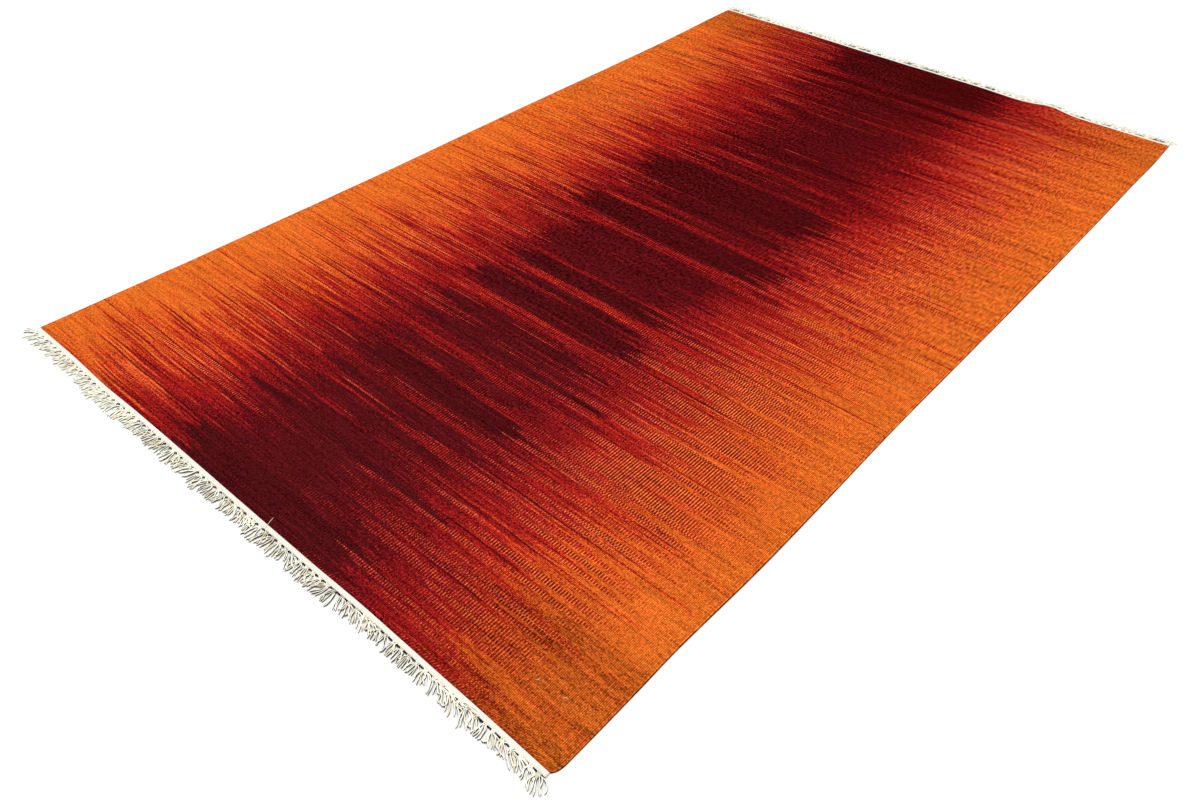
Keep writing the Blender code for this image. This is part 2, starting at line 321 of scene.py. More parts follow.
# The studio
FLOOR_SIZE = 24.0
FLOOR_DROP = 0.05 * MM
FLOOR_GREY = 0.78
SOFT_LIGHT = 0.74
LAMP_LIGHT = 2.23
LAMP_ANGLE = 14
LAMP_TURN = 26, 0, 205

# How much light falls on the cloth and on the yarns, and the most that a thing can give back
LIGHT_ON_CLOTH = 1.30
LIGHT_ON_YARN = 1.04
MOST_BRIGHT = 0.94


# Outline

def smooth_values(rows, along, column):
    """The named column of a table at places between its rows, on a smooth curve through them."""
    places = np.array([row.along for row in rows])
    values = np.array([getattr(row, column) for row in rows])
    before = np.maximum(np.arange(len(rows)) - 1, 0)
    after = np.minimum(np.arange(len(rows)) + 1, len(rows) - 1)
    slopes = (values[after] - values[before]) / (places[after] - places[before])
    along = np.clip(along, places[0], places[-1])
    k = np.clip(np.searchsorted(places, along) - 1, 0, len(rows) - 2)
    span = places[k + 1] - places[k]
    t = (along - places[k]) / span
    start = values[k] * (2 * t ** 3 - 3 * t ** 2 + 1)
    end = values[k + 1] * (3 * t ** 2 - 2 * t ** 3)
    leave = slopes[k] * span * (t ** 3 - 2 * t ** 2 + t)
    arrive = slopes[k + 1] * span * (t ** 3 - t ** 2)
    return start + end + leave + arrive


def cloth_to_plan(across, along):
    """Where points of the cloth lie on the floor, from metres across it and along it."""
    y = along - FIELD_LENGTH / 2
    left = -FIELD_WIDTH / 2 - smooth_values(LEFT_SIDE, y, "out") * MM
    right = FIELD_WIDTH / 2 + smooth_values(RIGHT_SIDE, y, "out") * MM
    x = left + (right - left) * across / FIELD_WIDTH
    near_out = smooth_values(NEAR_SIDE, x, "out") * MM * (1 - along / FIELD_LENGTH) ** END_HOLD
    far_out = smooth_values(FAR_SIDE, x, "out") * MM * (along / FIELD_LENGTH) ** END_HOLD
    return x, y - near_out + far_out


def frame_shift():
    """How far the frame's field lies from the tables' own place, across and along."""
    share = np.linspace(0.0, 1.0, 400)
    edge_x, _ = cloth_to_plan(0 * share, share * FIELD_LENGTH)
    _, edge_y = cloth_to_plan(share * FIELD_WIDTH, 0 * share)
    low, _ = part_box("kilim_field")
    return low[0] - edge_x.min(), low[1] - edge_y.min()


SHIFT_X, SHIFT_Y = frame_shift()


def wave(x, y, seed):
    """Smooth random hills of about one unit's width, from -1 to 1."""
    rng = np.random.default_rng(seed)
    size = 64
    knots = rng.uniform(-1.0, 1.0, (size, size))
    x0, y0 = np.floor(x).astype(int), np.floor(y).astype(int)
    tx, ty = x - x0, y - y0
    tx, ty = tx * tx * (3 - 2 * tx), ty * ty * (3 - 2 * ty)

    def knot(i, j):
        return knots[i % size, j % size]

    low = knot(x0, y0) * (1 - tx) + knot(x0 + 1, y0) * tx
    high = knot(x0, y0 + 1) * (1 - tx) + knot(x0 + 1, y0 + 1) * tx
    return low * (1 - ty) + high * ty


def lift(x, y):
    """How far the cloth stands off the floor: low waves, and the ripple in the far end."""
    waves = 0.7 * wave(x * 7.0, y * 4.0, 5) + 0.5 * wave(x * 15.0, y * 11.0, 6)
    beside = ((x - RIPPLE_AT) / RIPPLE_WIDTH) ** 2
    ripple = RIPPLE_HEIGHT * np.exp(-beside - (FIELD_LENGTH / 2 - y).clip(0) / RIPPLE_LENGTH)
    return (CLOTH_REST + waves).clip(0.0) * MM + ripple * MM


# Shades

def inside(along, centre, height, edge):
    """1 inside a band, falling to 0 over its edges."""
    t = (height * MM / 2 - np.abs(along - centre)) / (edge * MM) + 0.5
    t = t.clip(0.0, 1.0)
    return t * t * (3 - 2 * t)


def crossing_field(across, along):
    """How surely a pick belongs to a crossing band, the band's own tone, and the plain tone."""
    share = across / FIELD_WIDTH
    out = np.abs(2 * share - 1)
    place = along + 1.5 * MM * wave(share * 7, along * 12, 21) + 3 * MM * wave(share * 5, along * 220, 22)
    ragged = 0.04 * wave(share * 13, along * 60, 27)
    dip = CROSSING_DIP * (1 - out / DIP_REACH).clip(0.0)
    left, right = (smooth_values(DRIFTS, along, side) for side in ("left", "right"))
    grown = ((out - DRIFT_FROM) / DRIFT_GROWS).clip(0.0, 1.0)
    ended = ((1.0 - out) / DRIFT_ENDS).clip(0.0, 1.0)
    plain = out - np.where(share < 0.5, left, right) * grown * ended
    sure = np.zeros_like(out)
    tone = out
    for band in BANDS:
        ends = ((band.reach + ragged - out) / 0.20 + 0.5).clip(0.0, 1.0)
        here = ends * inside(place, band.along, band.height, band.edge)
        own_tone = band.tone - dip if band.tone > BRIGHT_BAND else band.tone
        sure = np.maximum(sure, here)
        tone = tone + (4 * here).clip(0.0, 1.0) * (own_tone - tone)
    return np.stack([sure, tone, plain], 1)


def dye_field(across, along):
    """How much brighter or darker the dye came out, as a share."""
    share = across / FIELD_WIDTH
    place = along + 1.5 * MM * wave(share * 7, along * 12, 23)
    dye = 0.03 * wave(share * 1.5, along * 9, 24) + 0.03 * wave(share * 2, along * 40, 25)
    for band in ABRASHES:
        at_side = ((share - 0.5) * 2 * band.side - 0.35).clip(0.0, 0.4) / 0.4
        dye = dye + band.shift * at_side * inside(place, band.along, band.height, band.edge)
    return dye


# Meshes

class Cloth:
    """Points, faces and weave places gathered for one mesh."""

    def __init__(self):
        self.points = []
        self.faces = []
        self.maps = []
        self.marks = {}
        self.count = 0

    def add(self, points, faces, corner_map, **marks):
        """Adds points and faces. corner_map is the place of each face's corners on the flat map."""
        self.points.append(np.asarray(points, float))
        self.faces.append(np.asarray(faces, int) + self.count)
        self.maps.append(np.asarray(corner_map, float))
        for name, values in marks.items():
            self.marks.setdefault(name, []).append(np.asarray(values, float))
        self.count += len(points)

    def add_tube(self, rings, cell, **marks):
        """Adds a closed tube through rings of points. cell is its place on the flat map: corner and size."""
        steps, sides, _ = rings.shape
        i, j = np.meshgrid(np.arange(steps - 1), np.arange(sides), indexing="ij")
        i, j = i.ravel(), j.ravel()
        walls = np.stack([[i, j], [i + 1, j], [i + 1, j + 1], [i, j + 1]]).transpose(2, 0, 1)
        faces = walls[..., 0] * sides + walls[..., 1] % sides
        flat = np.stack([0.02 + 0.96 * walls[..., 1] / sides, 0.06 + 0.88 * walls[..., 0] / (steps - 1)], 2)
        fans = np.array([(0, k, k + 1, k + 2) for k in range(1, sides - 2, 2)])
        turn = fans * 2 * math.pi / sides
        lids = np.stack([0.5 + 0.45 * np.cos(turn), 0.03 + 0.02 * np.sin(turn)], 2)
        last = (steps - 1) * sides
        faces = np.concatenate([faces, fans, (last + fans)[:, ::-1]])
        flat = np.concatenate([flat, lids, lids[:, ::-1] + (0.0, 0.94)])
        flat = flat * cell[2:] + cell[:2]
        self.add(rings.reshape(-1, 3), faces, flat.reshape(-1, 2), **marks)

    def finish(self, name, material):
        """The object, in the frame's place."""
        points = np.concatenate(self.points) + (SHIFT_X, SHIFT_Y, 0.0)
        faces = np.concatenate(self.faces)
        mesh = bpy.data.meshes.new(name)
        mesh.from_pydata(points.tolist(), [], faces.tolist())
        for mark, values in self.marks.items():
            values = np.concatenate(values)
            kind = "FLOAT" if values.ndim == 1 else "FLOAT_VECTOR"
            made = mesh.attributes.new(mark, kind, "POINT")
            made.data.foreach_set("value" if values.ndim == 1 else "vector", values.ravel())
        flat = mesh.uv_layers.new(name="OFBake")
        flat.data.foreach_set("uv", np.concatenate(self.maps).ravel())
        mesh.polygons.foreach_set("use_smooth", [True] * len(mesh.polygons))
        mesh.materials.append(material)
        made = bpy.data.objects.new(name, mesh)
        bpy.context.scene.collection.objects.link(made)
        return made


def grid_faces(columns, rows):
    """The four-cornered faces of a grid whose points run along its rows first."""
    i, j = np.meshgrid(np.arange(columns - 1), np.arange(rows - 1), indexing="ij")
    a = (i * rows + j).ravel()
    return np.stack([a, a + rows, a + rows + 1, a + 1], 1)


def edge_places(length, profile, step):
    """Places across a side-to-side length: those of the profile at both ends, and even steps between."""
    first = [rise.inset * MM for rise in profile]
    middle = length - 2 * first[-1]
    count = max(1, round(middle / step))
    between = [first[-1] + middle * k / count for k in range(1, count)]
    return np.array(first + between + [length - place for place in reversed(first)])


def rise_at(profile, inset):
    """The surface's height at a distance from its edge."""
    places = [rise.inset * MM for rise in profile]
    heights = [rise.height * MM for rise in profile]
    return np.interp(inset, places, heights)


def build_field(material):
    """The woven field: a sheet with corded selvedges, closed below, on low waves."""
    across = edge_places(FIELD_WIDTH, SELVEDGE, COLUMN_STEP)
    along = edge_places(FIELD_LENGTH, END_EDGE, ROW_STEP)
    columns, rows = len(across), len(along)
    u, v = (values.ravel() for values in np.meshgrid(across, along, indexing="ij"))
    x, y = cloth_to_plan(u, v)
    to_side = np.minimum(u, FIELD_WIDTH - u)
    to_end = np.minimum(v, FIELD_LENGTH - v)
    raised = lift(x, y)
    top = np.minimum(rise_at(SELVEDGE, to_side), rise_at(END_EDGE, to_end)) + raised
    cloth = Cloth()
    faces = grid_faces(columns, rows)
    weave = np.stack([u, v, np.zeros_like(u)], 1)
    flat_map = np.stack([0.80 * u / FIELD_WIDTH, v / FIELD_LENGTH], 1)
    marks = {"cloth": weave, "crossing": crossing_field(u, v), "dye": dye_field(u, v)}
    cloth.add(np.stack([x, y, top], 1), faces, flat_map[faces.ravel()], **marks)
    below = faces[:, ::-1]
    below_map = np.stack([0.82 + 0.18 * u / FIELD_WIDTH, v / FIELD_LENGTH], 1)
    cloth.add(np.stack([x, y, raised], 1), below, below_map[below.ravel()], **marks)
    made = cloth.finish("woven_field", material)
    close_sides(made.data, columns, rows)
    return made


def close_sides(mesh, columns, rows):
    """Joins a sheet's upper and lower grids round their common rim."""
    count = columns * rows
    rim = [i * rows for i in range(columns)]
    rim += [(columns - 1) * rows + j for j in range(1, rows)]
    rim += [i * rows + rows - 1 for i in range(columns - 2, -1, -1)]
    rim += [j for j in range(rows - 2, 0, -1)]
    walls = [(a + count, b + count, b, a) for a, b in zip(rim, rim[1:] + rim[:1])]
    bm = bmesh.new()
    bm.from_mesh(mesh)
    bm.verts.ensure_lookup_table()
    flat = bm.loops.layers.uv["OFBake"]
    for wall in walls:
        face = bm.faces.new([bm.verts[k] for k in wall])
        face.smooth = True
        for loop in face.loops:
            source = next(other for other in loop.vert.link_loops if other.face is not face)
            loop[flat].uv = source[flat].uv
    bm.to_mesh(mesh)
    bm.free()


def end_place(sign, across, out):
    """A point beyond an end of the field. sign is -1 at the near end and 1 at the far end."""
    along = 0.0 if sign < 0 else FIELD_LENGTH
    x, y = cloth_to_plan(np.asarray(across, float), along)
    return x, y + sign * out


def rings_along(path, radius, sides, breadth=1.0):
    """Rings of points round a path, where each is round and along it, and how far each faces SHADED_WAY, for
    the painted shade.
    """
    ahead = np.gradient(path, axis=0)
    ahead /= np.linalg.norm(ahead, axis=1)[:, None]
    beside = np.cross(ahead, (0.0, 0.0, 1.0))
    beside /= np.linalg.norm(beside, axis=1)[:, None]
    above = np.cross(beside, ahead)
    turn = np.arange(sides) * 2 * math.pi / sides
    radius = np.broadcast_to(radius, len(path))[:, None, None]
    spokes = beside[:, None] * np.cos(turn)[None, :, None] * breadth
    spokes = spokes + above[:, None] * np.sin(turn)[None, :, None]
    lengths = np.linalg.norm(np.diff(path, axis=0), axis=1)
    gone = np.concatenate([[0.0], lengths.cumsum()])[:, None]
    marks = np.stack(np.broadcast_arrays(np.cos(turn), np.sin(turn), gone), 2)
    facing = spokes / np.linalg.norm(spokes, axis=2)[:, :, None]
    return path[:, None] + spokes * radius, marks, 0.5 + 0.5 * facing @ SHADED_WAY


def add_yarn(cloth, path, radius, cell, own, shade=1.0, sides=YARN_SIDES, breadth=1.0):
    """Adds a yarn or a knot. own is its own number from 0 to 1, and shade how deep the painted shade on its
    underside is.
    """
    rings, strand, under = rings_along(path, radius, sides, breadth)
    count = rings.shape[0] * sides
    under = under * np.broadcast_to(shade, len(path))[:, None]
    marks = {"strand": strand.reshape(-1, 3), "under": under.ravel(), "yarn": np.full(count, own)}
    cloth.add_tube(rings, cell, **marks)


def build_band(name, sign, material):
    """A cotton band along an end, closed all round."""
    across = np.linspace(0.0, FIELD_WIDTH, BAND_COLUMNS)
    section = BAND_SECTION[::sign]
    rings = np.zeros((BAND_COLUMNS, len(section), 3))
    weave = np.zeros((BAND_COLUMNS, len(section), 3))
    edge_x, edge_y = end_place(sign, across, 0.0)
    raised = lift(edge_x, edge_y)
    for k, corner in enumerate(section):
        x, y = end_place(sign, across, corner.out * MM)
        rings[:, k] = np.stack([x, y, corner.height * MM + raised], 1)
        weave[:, k] = np.stack([across, np.full_like(across, corner.out * MM), 0 * across], 1)
    cloth = Cloth()
    cloth.add_tube(rings, (0.0, 0.0, 1.0, 1.0), cloth=weave.reshape(-1, 3))
    return cloth.finish(name, material)


def build_shadow_cord(name, sign, cord, material):
    """The dark cord of painted shadow along a band's outer edge, uneven and lost in places under the
    tassels.
    """
    across = np.linspace(SHADOW_CORD_INSET, FIELD_WIDTH - SHADOW_CORD_INSET, BAND_COLUMNS)
    wander = wave(across * 110, across * 0, 41 + sign)
    x, y = end_place(sign, across, SHADOW_CORD_OUT + 0.25 * MM * wander)
    edge_x, edge_y = end_place(sign, across, 0.0)
    radius = smooth_values(cord, edge_x, "radius") * MM
    radius *= 0.85 + 0.30 * wave(across * 60, across * 0, 43 + sign)
    height = smooth_values(cord, edge_x, "height") * MM
    path = np.stack([x, y, height + lift(edge_x, edge_y)], 1)
    cloth = Cloth()
    add_yarn(cloth, path, radius, (0.0, 0.0, 1.0, 1.0), 0.5)
    return cloth.finish(name, material)


def yarn_path(rng, sign, root, rank, comb, tassel_turn, radius):
    """A yarn from the band through the knot to its tip. rank is its place in the tassel, from -1 to 1."""
    steps = np.linspace(0.0, 1.0, YARN_STEPS)
    length = comb.reach * MM * rng.uniform(0.84, 1.04)
    run = steps * length
    turn = comb.heading + tassel_turn + comb.bend * steps + rank * comb.spread
    turn = turn + rank * FAN * np.exp(-run / FAN_LENGTH) + rng.gauss(0, YARN_JITTER)
    turn = turn + rng.gauss(0, WIGGLE) * np.sin(steps * 2 * math.pi + rng.uniform(0, 6))
    turn = turn + rng.gauss(0, CURL) * steps ** 2
    luck = rng.random()
    side = rng.choice((-1, 1))
    if luck < LOOP_CHANCE:
        late = ((steps - LOOP_FROM) / (1 - LOOP_FROM)).clip(0.0)
        turn = turn + side * rng.uniform(*LOOP_TURNS) * late
    elif luck < LOOP_CHANCE + HOOK_CHANCE:
        late = ((steps - HOOK_FROM) / (1 - HOOK_FROM)).clip(0.0)
        turn = turn + side * rng.uniform(*HOOK_TURNS) * late ** 1.5
    turn = np.radians(turn)
    step = length / (YARN_STEPS - 1)
    aside = np.concatenate([[0.0], np.sin(turn[:-1]).cumsum()]) * step
    out = np.concatenate([[0.0], np.cos(turn[:-1]).cumsum()]) * step
    over = rng.uniform(0.0, 1.3) * MM * np.sin(steps * math.pi)
    low = 1.1 * radius
    height = low + (KNOT_HEIGHT - low) * np.exp(-run / SETTLE_LENGTH) + over
    root_x, root_y = root
    knot_x = root_x + rank * KNOT_HALF_WIDTH
    after = np.stack([knot_x + aside, root_y + sign * (KNOT_OUT + out), height], 1)
    start = root_x + rank * comb.root * MM
    before = [
        (start, root_y + sign * ROOT_OUT, 2.2 * MM),
        (start, root_y + sign * (ROOT_OUT + 1.0 * MM), 2.4 * MM),
        ((start + knot_x) / 2, root_y + sign * (ROOT_OUT + KNOT_OUT) / 2, 2.2 * MM),
    ]
    return np.concatenate([before, after])


def comb_at(comb, x):
    """How the fringe is combed at a place along its end."""
    place = np.array(x)
    return Comb(x, *(float(smooth_values(comb, place, column)) for column in Comb._fields[1:]))


def build_fringe(end, material):
    """The tassels of an end: a small knot each, and the warp yarns that run out of it."""
    rng = random.Random(end.seed)
    sign = end.sign
    cloth = Cloth()
    cells_across, cells_up = TASSELS // CELL_ROWS, CELL_ROWS
    for k in range(TASSELS):
        across = FIELD_WIDTH * (k + 0.5) / TASSELS + rng.uniform(-1.5, 1.5) * MM
        root_x, root_y = (float(value) for value in end_place(sign, across, 0.0))
        raised = float(lift(np.array(root_x), np.array(root_y)))
        here = comb_at(end.comb, root_x)
        here = here._replace(reach=here.reach * rng.uniform(0.84, 1.06))
        tassel_turn = rng.gauss(0, TASSEL_JITTER)
        # How much deeper this tassel's painted shade is at its root, a painted shadow among the tassels
        deep = end.deep * rng.random() ** 3
        yarns = round(here.yarns + rng.uniform(-0.6, 0.6))
        cell_x, cell_y = k % cells_across / cells_across, k // cells_across / cells_up
        width, height = 1 / cells_across / (yarns + 1), 1 / cells_up
        for n in range(yarns):
            rank = 2 * n / (yarns - 1) - 1
            path = yarn_path(rng, sign, (root_x, root_y), rank, here, tassel_turn, end.radius * MM)
            share = np.linspace(0.0, 1.0, len(path))
            path[:, 2] += raised * (1 - share) ** 1.5
            taper = np.ones(len(path))
            taper[0], taper[-2], taper[-1] = 0.7, 0.85, 0.45
            radius = end.radius * MM * rng.uniform(0.84, 1.10) * taper
            # Painted shade on the yarn's underside, deeper towards its root
            shade = here.shade + deep * np.exp(-(share / ROOT_SHADE) ** 2)
            cell = cell_x + n * width, cell_y, width, height
            add_yarn(cloth, path, radius, cell, rng.random(), shade)
        # The knot, with painted shade on its underside
        lean = math.sin(math.radians(here.heading + tassel_turn)) * 0.6
        knot = np.array([(lean * ring.along, sign * ring.along, 0.0) for ring in KNOT_RINGS])
        knot = knot * MM + (root_x, root_y + sign * KNOT_OUT, KNOT_HEIGHT + raised)
        radius = np.array([ring.radius for ring in KNOT_RINGS]) * MM * rng.uniform(0.85, 1.1)
        cell = cell_x + yarns * width, cell_y, width, height
        add_yarn(cloth, knot, radius, cell, rng.random(), here.shade + deep / 2, KNOT_SIDES, KNOT_BREADTH)
    return cloth.finish(end.name + "_fringe", material)


def build_loose_threads(name, material):
    """The loose threads, each a thin yarn that lies on the cloth."""
    cloth = Cloth()
    width = 1 / len(LOOSE_THREADS)
    for k, places in enumerate(LOOSE_THREADS):
        path = np.array([(place.x, place.y, FIELD_TOP + place.height * MM) for place in places])
        path[:, 2] += lift(path[:, 0], path[:, 1])
        radius = np.full(len(path), LOOSE_RADIUS)
        radius[0] = radius[-1] = LOOSE_RADIUS / 2
        # A light painted shade on the thread's underside
        add_yarn(cloth, path, radius, (k * width, 0.0, width, 1.0), 0.0, 0.5)
    return cloth.finish(name, material)


# Materials

def linear(level):
    """A light level from 0 to 255 as a share of full light."""
    share = level / 255
    return share / 12.92 if share <= 0.04045 else ((share + 0.055) / 1.055) ** 2.4


def yarn_colour(red, green, blue, light=LIGHT_ON_CLOTH):
    """The yarn's own colour that looks like this in the light on it."""
    return tuple(min(linear(level) / light, MOST_BRIGHT) for level in (red, green, blue)) + (1.0,)


class Graph:
    """Makes and joins one material's nodes in short words."""

    def __init__(self, name):
        self.material = bpy.data.materials.new(name)
        self.material.use_nodes = True
        self.tree = self.material.node_tree
        self.shader = self.tree.nodes["Principled BSDF"]

    def node(self, kind, **settings):
        made = self.tree.nodes.new("ShaderNode" + kind)
        for name, value in settings.items():
            setattr(made, name, value)
        return made

    def feed(self, socket, value):
        """Joins a socket to another node's output, or sets it to a plain value."""
        if isinstance(value, bpy.types.NodeSocket):
            self.tree.links.new(value, socket)
        else:
            socket.default_value = value

    def math(self, operation, *values, clamp=False):
        made = self.node("Math", operation=operation, use_clamp=clamp)
        for socket, value in zip(made.inputs, values):
            self.feed(socket, value)
        return made.outputs[0]

    def add(self, first, *others):
        for other in others:
            first = self.math("ADD", first, other)
        return first

    def less(self, first, second):
        return self.math("SUBTRACT", first, second)

    def times(self, first, second):
        return self.math("MULTIPLY", first, second)

    def odd(self, number):
        """1 for an odd whole number and 0 for an even one."""
        return self.math("FLOORED_MODULO", number, 2.0)

    def off_middle(self, place):
        """How far a place lies from the middle of its whole step, from 0 to 0.5."""
        return self.math("ABSOLUTE", self.less(self.math("FRACT", place), 0.5))

    def ease(self, value, start, end, low=0.0, high=1.0):
        """A smooth climb from low at start to high at end."""
        made = self.node("MapRange", interpolation_type="SMOOTHSTEP")
        for socket, number in zip(made.inputs, (value, start, end, low, high)):
            self.feed(socket, number)
        return made.outputs[0]

    def point(self, x, y, z):
        made = self.node("CombineXYZ")
        for socket, value in zip(made.inputs, (x, y, z)):
            self.feed(socket, value)
        return made.outputs[0]

    def split(self, vector):
        made = self.node("SeparateXYZ")
        self.feed(made.inputs[0], vector)
        return made.outputs

    def mark(self, name, output):
        return self.node("Attribute", attribute_name=name).outputs[output]

    def noise_at(self, x, y, seed, detail=0.0):
        """Smooth noise from about -0.5 to 0.5."""
        made = self.node("TexNoise", noise_dimensions="3D")
        self.feed(made.inputs["Vector"], self.point(x, y, seed))
        made.inputs["Scale"].default_value = 1.0
        made.inputs["Detail"].default_value = detail
        return self.less(made.outputs[0], 0.5)

    def noise(self, x, across, y, along, seed, detail=0.0):
        """The same, with so many hills for each unit of x and of y."""
        return self.noise_at(self.times(x, across), self.times(y, along), seed, detail)

    def chance(self, x, y, seed):
        """A random number from 0 to 1 for each whole pair of numbers."""
        made = self.node("TexWhiteNoise", noise_dimensions="3D")
        self.feed(made.inputs["Vector"], self.point(x, y, seed))
        return made.outputs["Value"]

    def scaled(self, colour, amount):
        made = self.node("VectorMath", operation="SCALE")
        self.feed(made.inputs[0], colour)
        self.feed(made.inputs["Scale"], amount)
        return made.outputs[0]

    def blend(self, share, first, second):
        made = self.node("Mix", data_type="RGBA", clamp_factor=True)
        self.feed(made.inputs["Factor"], share)
        self.feed(made.inputs[6], first)
        self.feed(made.inputs[7], second)
        return made.outputs[2]

    def bump(self, height, strength, distance):
        made = self.node("Bump")
        made.inputs["Strength"].default_value = strength
        made.inputs["Distance"].default_value = distance
        self.feed(made.inputs["Height"], height)
        self.feed(self.shader.inputs["Normal"], made.outputs[0])


def shade_ramp(graph, tone):
    """The wool's colour for a tone."""
    low, high = WOOL_SHADES[0].tone, WOOL_SHADES[-1].tone
    ramp = graph.node("ValToRGB")
    elements = ramp.color_ramp.elements
    while len(elements) < len(WOOL_SHADES):
        elements.new(1.0)
    for element, shade in zip(elements, WOOL_SHADES):
        element.position = (shade.tone - low) / (high - low)
        element.color = yarn_colour(shade.red, shade.green, shade.blue)
    share = graph.math("MULTIPLY", graph.less(tone, low), 1 / (high - low), clamp=True)
    graph.feed(ramp.inputs[0], share)
    return ramp.outputs[0]


Weave = namedtuple("Weave", "u v rib row row_v pair rib_side bead_side")
Shuttles = namedtuple("Shuttles", "group_at group side apart bright dark")
Grains = namedtuple("Grains", "fine warps grain bead wool")


def selvedge_light(g, u, v):
    """Painted light at each side: a painted highlight on its cord, painted shade in the crease inside it,
    and a painted shadow at its foot.
    """
    inset = g.math("MINIMUM", u, g.less(FIELD_WIDTH, u))
    # The painted shadow at the foot wanders in width along the side
    foot_shadow_break = g.noise(v, 9.0, v, 40.0, 99.0, 1.0)
    foot = g.add(inset, g.times(foot_shadow_break, 1.6 * MM))
    cord = g.ease(foot, 0.25 * MM, 0.75 * MM, 0.10, 1.0)
    cord = g.times(cord, g.ease(inset, 3.6 * MM, 4.6 * MM, 1.16, 1.0))
    crease = g.times(g.ease(inset, 3.8 * MM, 4.6 * MM), g.ease(inset, 5.0 * MM, 6.2 * MM, 0.22, 0.0))
    return g.less(cord, crease)


def weave_places(g, u, v):
    """Where the ribs and the picks lie. The picks wander a little, and the warps less."""
    v = g.add(v, g.times(g.noise(u, 9.0, v, 5.0, 3.1, 1.0), 5 * MM))
    u = g.add(u, g.times(g.noise(u, 3.0, v, 4.0, 4.7), 5 * MM))
    rib_at = g.times(u, 1 / WARP_PITCH)
    rib = g.math("FLOOR", rib_at)
    bead_at = g.add(g.times(v, 1 / PICK_PAIR), g.times(g.odd(rib), 0.5))
    row = g.math("FLOOR", bead_at)
    row_v = g.times(row, PICK_PAIR)
    pair = g.math("FLOOR", g.times(row, 0.5))
    return Weave(u, v, rib, row, row_v, pair, g.off_middle(rib_at), g.off_middle(bead_at))


def crossed_tone(g, u, pair):
    """Each pair of picks joins a crossing band or leaves it at a place of its own."""
    crossed, band_tone, out = g.split(g.mark("crossing", "Vector"))
    luck = g.less(g.chance(pair, 4.0, 19.5), 0.5)
    wander = g.noise(u, 6.0, pair, 3.1, 33.0)
    crossed = g.add(crossed, g.times(luck, 0.50), g.times(wander, 1.4))
    crossed = g.ease(crossed, 0.42, 0.58)
    plain = g.add(out, 0.03)
    return g.add(plain, g.times(crossed, g.less(band_tone, plain))), crossed


def two_shuttles(g, weave, tone, corner):
    """How far apart the shades of two shuttles stand, and which of them a pick is from.

    The weaver works in groups of picks. Where the shuttles take turns pick by pick they make
    upright bars, and where each goes there and back they make stripes.
    """
    u, pair, row_v = weave.u, weave.pair, weave.row_v
    bunch = g.noise_at(g.times(row_v, 30.0), 0.5, 31.0)
    group_at = g.add(g.times(row_v, 105.0), g.times(bunch, 3.2))
    group = g.math("FLOOR", group_at)
    turn = g.math("GREATER_THAN", g.chance(group, 0.0, 9.5), 0.88)
    bars = g.odd(g.add(weave.rib, turn))
    stripes = g.odd(pair)
    striped = g.math("LESS_THAN", g.chance(group, 6.0, 27.5), g.ease(u, 0.50, 0.95, 0.92, 0.08))
    side = g.add(bars, g.times(striped, g.less(stripes, bars)))
    side = g.less(g.times(side, 2.0), 1.0)
    spread = g.ease(g.noise(u, 3.0, group, 5.1, 41.3), -0.12, 0.08)
    spread = g.times(spread, g.ease(tone, 0.72, 0.98, 1.0, 0.18))
    spread = g.times(spread, g.less(1.0, g.times(corner, 0.65)))
    broken = g.ease(g.noise(u, 7.0, pair, 1.9, 45.3), -0.12, 0.12, 1.0, 0.15)
    spread = g.times(spread, g.less(1.0, g.times(striped, broken)))
    apart = g.times(side, spread)
    bright = g.math("MAXIMUM", apart, 0.0)
    dark = g.math("MINIMUM", apart, 0.0)
    return Shuttles(group_at, group, side, apart, bright, dark)


def flame_tone(g, weave, shuttles, lit):
    """Slow flames of shade, and quick ones from group to group and from pick to pick."""
    u, row, row_v, pair, group = weave.u, weave.row, weave.row_v, weave.pair, shuttles.group
    flames = 0.0
    for flame in FLAMES:
        hills = g.noise(u, flame.across, row_v, flame.along, flame.seed)
        flames = g.add(flames, g.times(hills, flame.depth))
    thrown = g.noise(u, 3.0, group, 7.7, 6.5, 1.0)
    alone = g.noise(u, 4.0, group, 3.3, g.times(shuttles.side, 9.5))
    picked = g.noise(u, 5.0, row, 2.9, 55.0)
    doubled = g.noise(u, 6.0, pair, 4.7, 57.0)
    flames = g.add(flames, g.times(thrown, 0.24), g.times(alone, 0.18))
    drawn = g.ease(u, 0.60, 1.20, 1.0, 0.55)
    flames = g.add(flames, g.times(drawn, g.add(g.times(picked, 0.40), g.times(doubled, 0.34))))

    # A lone pick of another shade often closes a group, and others run far out in the orange
    first_pick = g.math("LESS_THAN", g.math("FRACT", shuttles.group_at), 0.22)
    closing = g.less(g.chance(group, 3.0, 17.5), 0.5)
    flames = g.add(flames, g.times(g.times(first_pick, closing), 0.30))
    lone = g.ease(g.chance(pair, 1.0, 12.5), 0.62, 0.80)
    run = g.ease(g.noise(u, 4.0, pair, 3.7, 51.9), 0.02, 0.10)
    under_side = g.math("LESS_THAN", shuttles.side, 0.0)
    stray = g.times(g.times(lone, run), under_side)
    flames = g.less(flames, g.times(stray, 0.26))
    return g.add(flames, g.times(lit, 0.20))


def wool_grains(g, weave, corner):
    """The wool's own grain. Towards the far right its finest parts give way to one along the warps."""
    u, v = weave.u, weave.v
    drawn_out = g.times(g.ease(u, 0.65, 1.05), g.ease(v, 0.80, 1.40))
    fine = g.less(1.0, g.times(drawn_out, 0.80))
    warps = g.times(g.noise(u, 185.0, v, 58.0, 96.0, 1.0), drawn_out)
    bead = g.less(g.chance(weave.rib, weave.row, 3.5), 0.5)
    grain = g.noise(u, 230.0, v, 230.0, 97.0, 1.0)
    grain = g.times(grain, g.less(1.0, g.times(corner, 0.45)))
    wool = g.noise(u, 900.0, v, 1400.0, 91.0)
    return Grains(fine, warps, grain, bead, wool)


